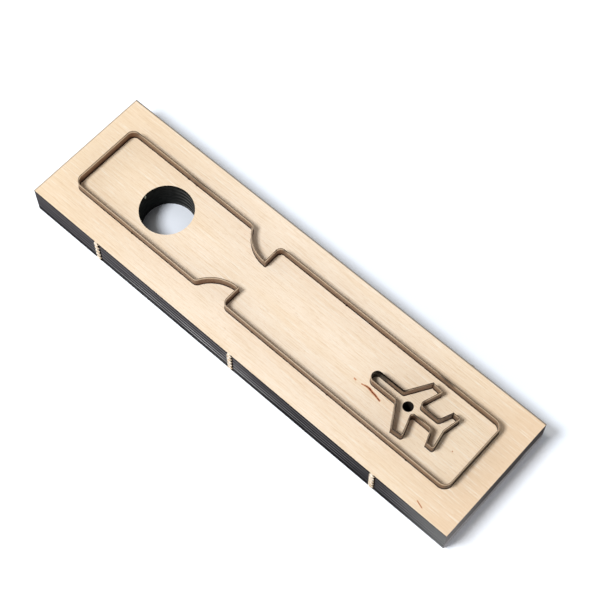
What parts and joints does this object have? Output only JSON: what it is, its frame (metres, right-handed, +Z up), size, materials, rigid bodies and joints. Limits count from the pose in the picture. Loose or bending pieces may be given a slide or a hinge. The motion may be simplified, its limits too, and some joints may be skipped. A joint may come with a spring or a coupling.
{
  "type": "steel rule die",
  "caption": "Laser-cut plywood board holding bent steel cutting rules on edge; cuts a waisted luggage tag with an aeroplane window, with ejection holes through the board.",
  "frame": {"origin": "middle of the board's underside", "axes": "+X along the board towards the aeroplane end, +Y across the board, +Z up from the underside towards the cutting edges"},
  "size_m": [0.267, 0.0734, 0.0238],
  "materials": {
    "board": "pale sanded birch veneer with laser-charred edges",
    "rule": "plain cold-rolled steel with a ground bevel"
  },
  "bodies": {
    "root": {"die_board": "board", "tag_rule_short": "rule", "tag_rule_long": "rule", "plane_nose_rule": "rule", "plane_wing_rule_left": "rule", "plane_wing_rule_right": "rule", "plane_tail_rule": "rule"}
  },
  "joints": []
}
